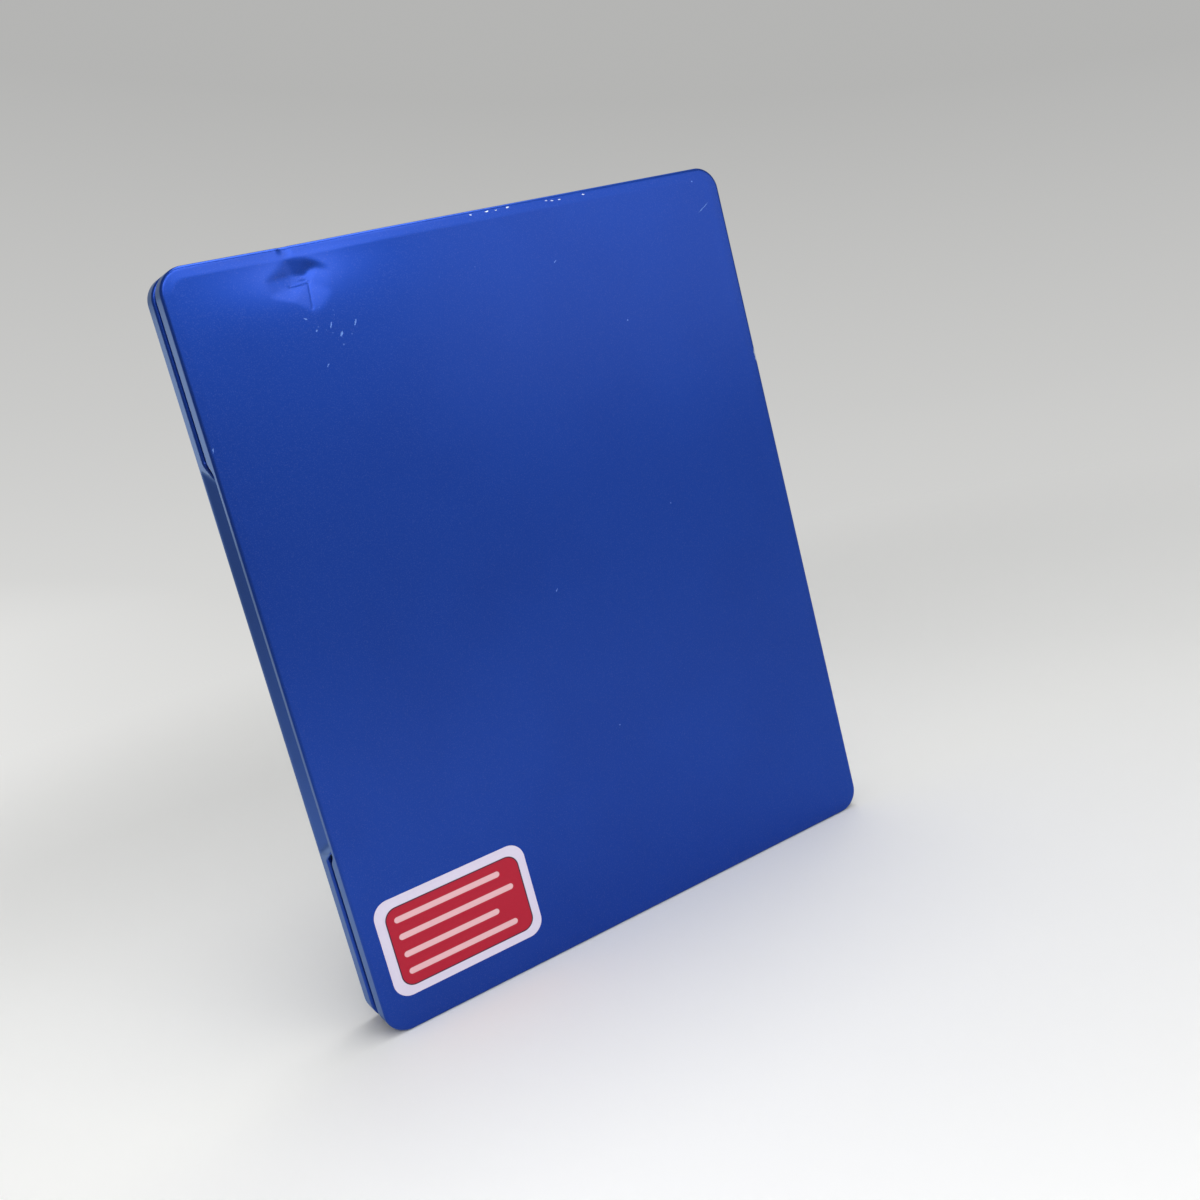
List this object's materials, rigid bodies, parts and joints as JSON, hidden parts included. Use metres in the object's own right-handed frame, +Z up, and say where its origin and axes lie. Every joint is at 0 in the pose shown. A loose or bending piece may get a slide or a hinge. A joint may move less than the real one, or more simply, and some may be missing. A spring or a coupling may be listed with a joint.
{
  "type": "steel disc case",
  "caption": "Slim pressed-steel disc case that opens like a book, with two covers, a folding spine, plastic trays, a disc hub, a finger scoop and a dented corner.",
  "frame": {"origin": "middle of the closed case's lower edge, on the surface it stands on", "axes": "+Z up along the spine, +X from the opening edge to the spine, +Y from the back cover to the front cover"},
  "size_m": [0.136, 0.0151, 0.17],
  "materials": {
    "blue_steel": "satin metallic lacquer",
    "blue_plastic": "moulded, fine satin",
    "sticker": "printed film, no text"
  },
  "bodies": {
    "back_half": {"back_cover": "blue_steel", "back_tray": "blue_plastic", "sticker": "sticker"},
    "spine": {"spine_cover": "blue_steel", "spine_core": "blue_plastic"},
    "front_half": {"front_cover": "blue_steel", "front_tray": "blue_plastic"}
  },
  "joints": [
    {"name": "spine_fold", "type": "hinge", "parent": "back_half", "child": "spine", "pos_m": [0.0669, -0.0055, 0.085], "axis": [0, 0, -1], "range_deg": [0, 90]},
    {"name": "front_fold", "type": "hinge", "parent": "spine", "child": "front_half", "pos_m": [0.0669, 0.0055, 0.085], "axis": [0, 0, -1], "range_deg": [0, 90]}
  ]
}
